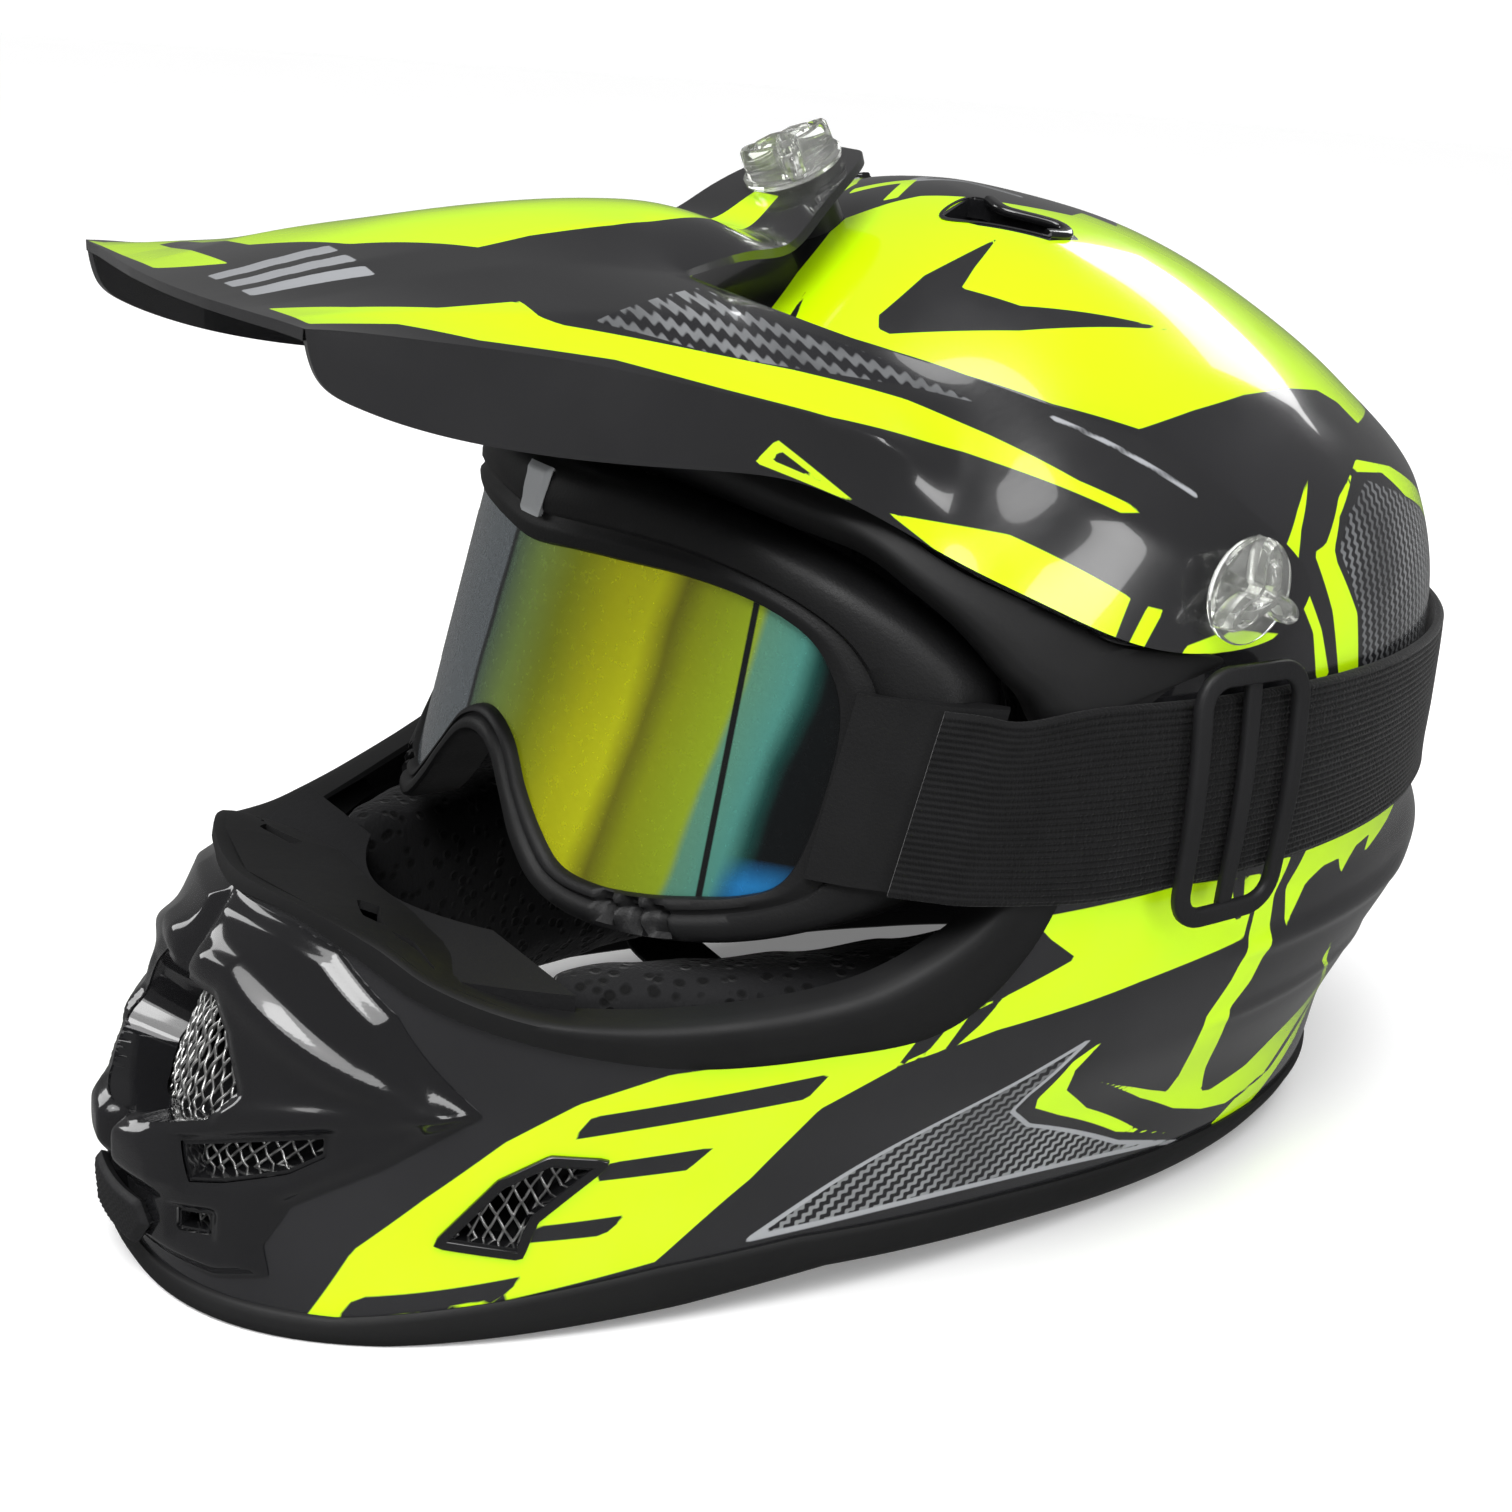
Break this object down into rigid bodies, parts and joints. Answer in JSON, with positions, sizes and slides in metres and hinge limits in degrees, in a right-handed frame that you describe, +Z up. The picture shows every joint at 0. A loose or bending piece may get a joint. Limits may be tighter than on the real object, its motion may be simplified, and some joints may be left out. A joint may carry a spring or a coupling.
{
  "type": "motocross helmet",
  "caption": "Full-face off-road riding helmet with an adjustable peak on thumb screws, mirrored goggles on an elastic strap, vented chin bar, padded liner and chin strap.",
  "frame": {"origin": "centre of the overall box in plan, on the floor the helmet stands on", "axes": "+X to the wearer's left, -Y the way the wearer looks, +Z up"},
  "size_m": [0.2716, 0.3932, 0.2677],
  "materials": {
    "shell_paint": "gloss",
    "gloss_black_moulding": "gloss",
    "peak_plastic": "gloss",
    "matte_black_plastic": "matte",
    "insert_brass": "machined",
    "trim_rubber": "matte",
    "liner_foam": "matte",
    "comfort_fabric": "woven",
    "mesh_metal": "satin",
    "clear_screw_plastic": "gloss",
    "goggle_frame_plastic": "matte",
    "mirror_lens": "mirror",
    "goggle_foam": "matte",
    "clip_grey": "satin",
    "elastic_webbing": "woven",
    "chin_webbing": "woven",
    "steel_hardware": "satin",
    "lever_plastic": "gloss"
  },
  "bodies": {
    "helmet": {"bottom_trim": "trim_rubber", "breath_guard": "trim_rubber", "cheek_pad_left": "comfort_fabric", "cheek_pad_right": "comfort_fabric", "chin_impact_liner": "liner_foam", "chin_mesh_centre": "mesh_metal", "chin_mesh_sides": "mesh_metal", "chin_strap_left": "chin_webbing", "chin_strap_right": "chin_webbing", "comfort_liner": "comfort_fabric", "crown_vent_hood_left": "gloss_black_moulding", "crown_vent_hood_right": "gloss_black_moulding", "eyeport_trim": "trim_rubber", "goggle_strap": "elastic_webbing", "impact_liner": "liner_foam", "mouthpiece": "gloss_black_moulding", "neck_roll": "comfort_fabric", "outer_shell": "shell_paint", "rear_vent_mesh": "mesh_metal", "side_liner_left": "liner_foam", "side_liner_right": "liner_foam", "side_screw_bosses": "matte_black_plastic", "side_vent_mesh_left": "mesh_metal", "side_vent_mesh_right": "mesh_metal", "strap_anchor_plates": "steel_hardware", "strap_buckle_base": "matte_black_plastic", "strap_buckle_pin": "steel_hardware", "strap_buckle_tongue": "matte_black_plastic", "strap_rivets": "steel_hardware", "threaded_inserts": "insert_brass", "top_screw_boss": "matte_black_plastic"},
    "peak": {"peak": "peak_plastic"},
    "peak_screw_left": {"peak_screw_left": "clear_screw_plastic"},
    "peak_screw_right": {"peak_screw_right": "clear_screw_plastic"},
    "peak_screw_top": {"peak_screw_top": "clear_screw_plastic"},
    "goggles": {"goggle_frame": "goggle_frame_plastic", "goggle_lens": "mirror_lens", "goggle_face_foam": "goggle_foam", "goggle_top_clip": "clip_grey", "goggle_outrigger_left": "goggle_frame_plastic", "goggle_outrigger_right": "goggle_frame_plastic"},
    "strap_buckle_left": {"strap_buckle_left": "matte_black_plastic"},
    "strap_buckle_right": {"strap_buckle_right": "matte_black_plastic"},
    "chin_vent_slider": {"chin_vent_slider": "matte_black_plastic"},
    "buckle_lever": {"strap_buckle_lever": "lever_plastic"}
  },
  "joints": [
    {"name": "peak_tilt", "type": "hinge", "parent": "helmet", "child": "peak", "pos_m": [0, 0.0228, 0.178], "axis": [-1, 0, 0], "range_deg": [0, 8]},
    {"name": "peak_screw_left_turn", "type": "hinge", "parent": "helmet", "child": "peak_screw_left", "pos_m": [0.12, 0.0228, 0.178], "axis": [1, 0, 0], "continuous": true},
    {"name": "peak_screw_right_turn", "type": "hinge", "parent": "helmet", "child": "peak_screw_right", "pos_m": [-0.12, 0.0228, 0.178], "axis": [-1, 0, 0], "continuous": true},
    {"name": "peak_screw_top_turn", "type": "hinge", "parent": "helmet", "child": "peak_screw_top", "pos_m": [0, -0.01824, 0.25358], "axis": [0, -0.4772, 0.8788], "continuous": true},
    {"name": "goggles_pull", "type": "slide", "parent": "helmet", "child": "goggles", "axis": [0, -1, 0], "range_m": [0, 0.025], "stiffness_N_per_m": 300, "springref_m": -0.005, "deforming": ["goggle_strap"]},
    {"name": "strap_buckle_left_slide", "type": "slide", "parent": "helmet", "child": "strap_buckle_left", "axis": [0, 1, 0], "range_m": [-0.006, 0.006]},
    {"name": "strap_buckle_right_slide", "type": "slide", "parent": "helmet", "child": "strap_buckle_right", "axis": [0, 1, 0], "range_m": [-0.006, 0.006]},
    {"name": "chin_vent_slide", "type": "slide", "parent": "helmet", "child": "chin_vent_slider", "axis": [0, 0, -1], "range_m": [0, 0.005]},
    {"name": "buckle_lever_lift", "type": "hinge", "parent": "helmet", "child": "buckle_lever", "pos_m": [-0.008, 0.0108, 0.011], "axis": [0, -1, 0], "range_deg": [0, 60], "stiffness_Nm_per_rad": 0.02, "springref_deg": -20.05}
  ]
}
